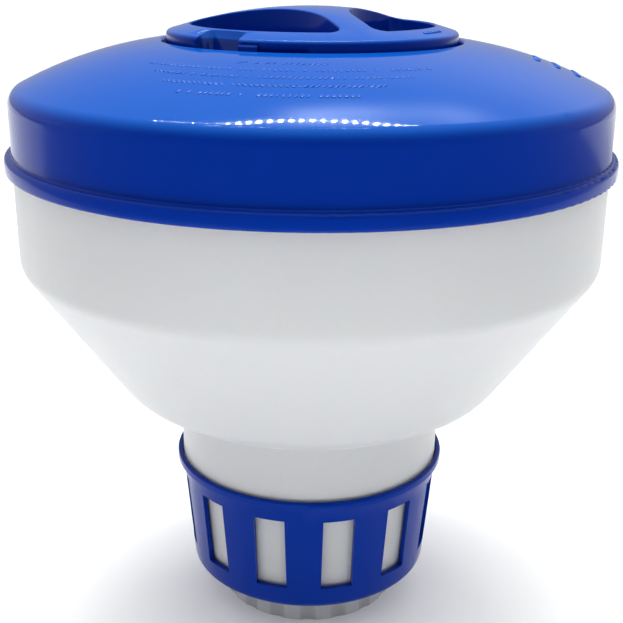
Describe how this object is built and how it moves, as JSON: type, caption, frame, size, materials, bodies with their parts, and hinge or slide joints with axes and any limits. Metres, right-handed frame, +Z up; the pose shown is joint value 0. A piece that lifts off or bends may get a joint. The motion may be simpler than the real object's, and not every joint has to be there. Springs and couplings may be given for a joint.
{
  "type": "floating chlorine dispenser",
  "caption": "Pool float that holds chlorine tablets in a tube under a twist-off lid, with a slotted flow ring turned on its neck.",
  "frame": {"origin": "centre of the foot's underside, on the float's axis", "axes": "+Z up along the float's axis, -Y the front, the side the lid's notch is nearest to"},
  "size_m": [0.205, 0.205, 0.2159],
  "materials": {
    "blue_plastic": "glossy moulded plastic",
    "white_plastic": "satin moulded plastic",
    "black_rubber": "smooth rubber",
    "ballast_iron": "bare cast"
  },
  "bodies": {
    "float_body": {"upper_shell": "blue_plastic", "float_gasket": "black_rubber", "lower_body": "white_plastic", "tablet_tube": "white_plastic", "tube_top_seal": "black_rubber", "tube_bottom_seal": "black_rubber", "base_plug": "white_plastic", "base_plug_seal": "black_rubber", "ballast_disc": "ballast_iron"},
    "flow_ring": {"flow_ring": "blue_plastic"},
    "lid_seal": {"lid_seal": "black_rubber"},
    "lid": {"lid": "blue_plastic"},
    "lock_tab": {"lock_tab": "blue_plastic"}
  },
  "joints": [
    {"name": "ring_turn", "type": "hinge", "parent": "float_body", "child": "flow_ring", "pos_m": [0, 0, 0.035], "axis": [0, 0, 1], "range_deg": [0, 15]},
    {"name": "lid_lift", "type": "slide", "parent": "float_body", "child": "lid_seal", "axis": [0, 0, 1], "range_m": [0, 0.06]},
    {"name": "lid_turn", "type": "hinge", "parent": "lid_seal", "child": "lid", "pos_m": [0, 0, 0.2], "axis": [0, 0, 1], "range_deg": [-35, 0]},
    {"name": "tab_press", "type": "hinge", "parent": "lid", "child": "lock_tab", "pos_m": [0.00081, -0.04669, 0.205], "axis": [0, 0, 1], "range_deg": [-4, 0], "stiffness_Nm_per_rad": 0.02}
  ]
}
